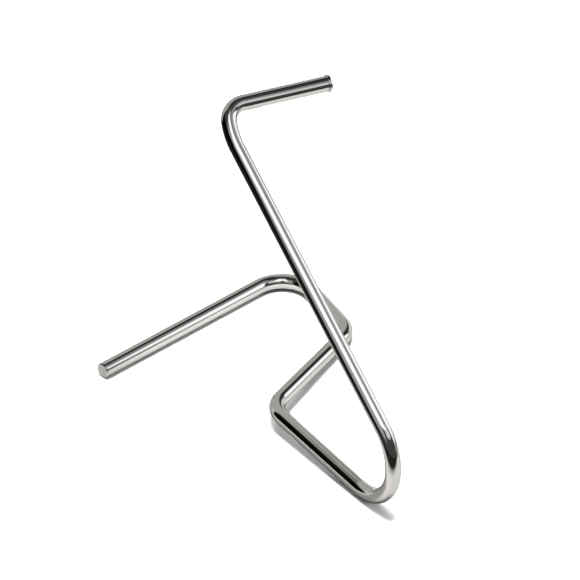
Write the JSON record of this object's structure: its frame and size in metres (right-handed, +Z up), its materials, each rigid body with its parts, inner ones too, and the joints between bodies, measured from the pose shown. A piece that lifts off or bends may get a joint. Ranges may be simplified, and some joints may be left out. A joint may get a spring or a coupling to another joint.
{
  "type": "valet stand",
  "caption": "Free-standing valet stand bent from round tube: a base that lies on the floor, a hairpin bend, a slanted upright and a level arm with a lipped end for hanging clothes.",
  "frame": {"origin": "on the floor, under the centre of the box around the stand", "axes": "+Z up; +Y is the longer side of the box, pointing from the hairpin towards the bend at the back; +X points from the plugged foot end towards the side where the arm ends"},
  "size_m": [0.8005, 1.1241, 0.885],
  "materials": {
    "polished_tube": "mirror-polished stainless steel with faint drawing marks along the tube",
    "foot_plug": "matte bead-blasted face with a polished chamfer",
    "arm_cap": "mirror-polished stainless steel"
  },
  "bodies": {
    "root": {"bent_tube": "polished_tube", "foot_plug": "foot_plug", "arm_cap": "arm_cap"}
  },
  "joints": []
}
